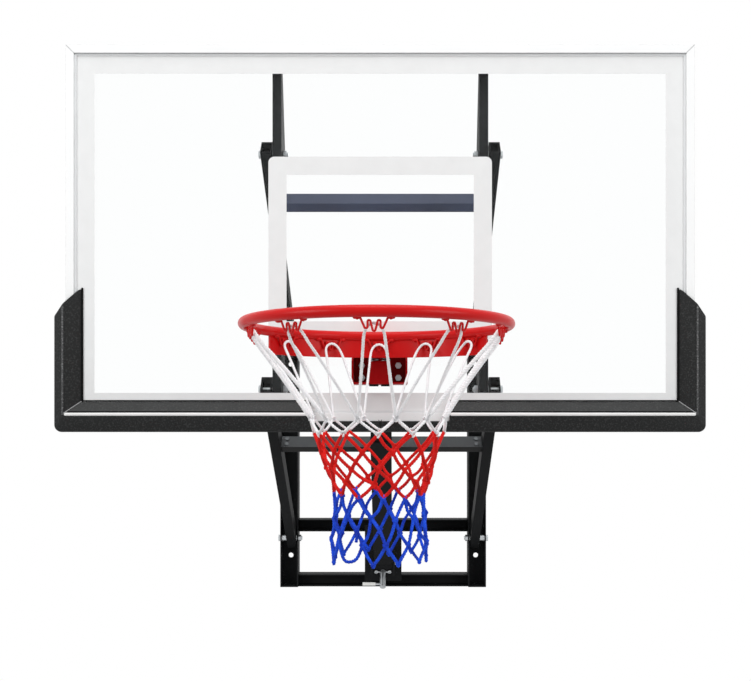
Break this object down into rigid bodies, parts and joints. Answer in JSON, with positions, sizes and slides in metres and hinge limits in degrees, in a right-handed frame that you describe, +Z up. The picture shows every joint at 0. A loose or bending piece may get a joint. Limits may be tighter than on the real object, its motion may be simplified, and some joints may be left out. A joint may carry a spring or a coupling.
{
  "type": "basketball backboard",
  "caption": "Wall-mounted clear backboard on parallelogram arms with a crank screw jack for height, padded lower edge, sprung rim and knotted net.",
  "frame": {"origin": "centre of the four wall bolt holes, on the wall plane", "axes": "+Z up, +X to the right as seen facing the board, -Y out from the wall"},
  "size_m": [1.426, 1.2192, 1.305],
  "materials": {
    "black_steel": "satin black powder coat",
    "slate_steel": "satin slate powder coat",
    "zinc": "zinc plated",
    "clear_sheet": "clear polycarbonate",
    "white_frame": "white powder coat",
    "gasket": "matt",
    "print": "light grey screen print",
    "pad": "textured foam skin",
    "red_steel": "gloss red powder coat",
    "net_white": "knotted cord",
    "net_red": "knotted cord",
    "net_blue": "knotted cord",
    "crank_grip": "matt"
  },
  "bodies": {
    "wall_frame": {"upright_left": "black_steel", "upright_right": "black_steel", "wall_bar_bottom": "black_steel", "wall_bar_middle": "black_steel", "wall_bar_top": "black_steel", "jack_plate": "black_steel", "jack_bracket": "black_steel", "wall_pivot_bolts": "zinc", "wall_pivot_nuts": "zinc", "wall_pivot_spacers": "zinc", "jack_foot_pin": "zinc"},
    "lower_arms": {"lower_arm_left": "black_steel", "lower_arm_right": "black_steel", "lower_crossbar": "black_steel", "lower_crossbar_bolts": "zinc"},
    "upper_arms": {"upper_arm_left": "black_steel", "upper_arm_right": "black_steel", "upper_crossbar": "slate_steel"},
    "board": {"post_left": "black_steel", "post_right": "black_steel", "post_screws": "zinc", "carrier_bar": "black_steel", "jack_lugs": "black_steel", "jack_top_pin": "zinc", "front_pivot_bolts": "zinc", "front_pivot_nuts": "zinc", "front_pivot_spacers": "zinc", "board_sheet": "clear_sheet", "frame_top": "white_frame", "frame_bottom": "white_frame", "frame_left": "white_frame", "frame_right": "white_frame", "gasket": "gasket", "border_stripe": "print", "target_stripe": "print", "pad_left": "pad", "pad_right": "pad", "rim_bracket": "red_steel", "rim_bolts": "zinc", "rim_nuts": "zinc", "rim_hinge_pin": "zinc", "spring_guides": "zinc", "spring_left": "zinc", "spring_right": "zinc"},
    "jack_body": {"jack_tube": "black_steel", "jack_gearbox": "black_steel"},
    "jack_slider": {"jack_rod": "black_steel", "jack_nut": "zinc"},
    "jack_spindle": {"jack_screw": "zinc"},
    "crank": {"crank_hub": "zinc", "crank_arm": "zinc", "crank_grip": "crank_grip"},
    "rim": {"rim_ring": "red_steel", "rim_plate": "red_steel", "net_hooks": "red_steel", "net_white": "net_white", "net_red": "net_red", "net_blue": "net_blue"}
  },
  "joints": [
    {"name": "lift", "type": "hinge", "parent": "wall_frame", "child": "lower_arms", "pos_m": [0, -0.035, -0.221], "axis": [1, 0, 0], "range_deg": [0, 45]},
    {"name": "upper_arm_turn", "type": "hinge", "parent": "wall_frame", "child": "upper_arms", "pos_m": [0, -0.035, 0.316], "axis": [1, 0, 0], "range_deg": [0, 45]},
    {"name": "board_level", "type": "hinge", "parent": "lower_arms", "child": "board", "pos_m": [0, -0.52527, 0.19038], "axis": [1, 0, 0], "range_deg": [-45, 0]},
    {"name": "jack_tilt", "type": "hinge", "parent": "wall_frame", "child": "jack_body", "pos_m": [0, -0.085, -0.28], "axis": [1, 0, 0], "range_deg": [0, 48]},
    {"name": "jack_slide", "type": "slide", "parent": "jack_body", "child": "jack_slider", "axis": [0, -0.7135, 0.7007], "range_m": [-0.031, 0]},
    {"name": "screw_turn", "type": "hinge", "parent": "jack_body", "child": "jack_spindle", "pos_m": [0, -0.085, -0.28], "axis": [0, -0.7135, 0.7007], "range_deg": [0, 2890]},
    {"name": "crank_turn", "type": "hinge", "parent": "jack_body", "child": "crank", "pos_m": [0, -0.085, -0.28], "axis": [0, -0.7007, -0.7135], "range_deg": [0, 2890]},
    {"name": "rim_tilt", "type": "hinge", "parent": "board", "child": "rim", "pos_m": [0, -0.61627, 0.28598], "axis": [1, 0, 0], "range_deg": [0, 15], "stiffness_Nm_per_rad": 400, "springref_deg": -17.19, "deforming": ["spring_left", "spring_right"]}
  ],
  "couplings": [
    {"joint": "upper_arm_turn", "follows": "lift", "ratio": 1},
    {"joint": "board_level", "follows": "lift", "ratio": -1},
    {"joint": "jack_tilt", "follows": "lift", "ratio": 1.059},
    {"joint": "jack_slide", "follows": "lift", "m_per_rad": -0.039},
    {"joint": "screw_turn", "follows": "lift", "ratio": 64},
    {"joint": "crank_turn", "follows": "lift", "ratio": 64}
  ]
}
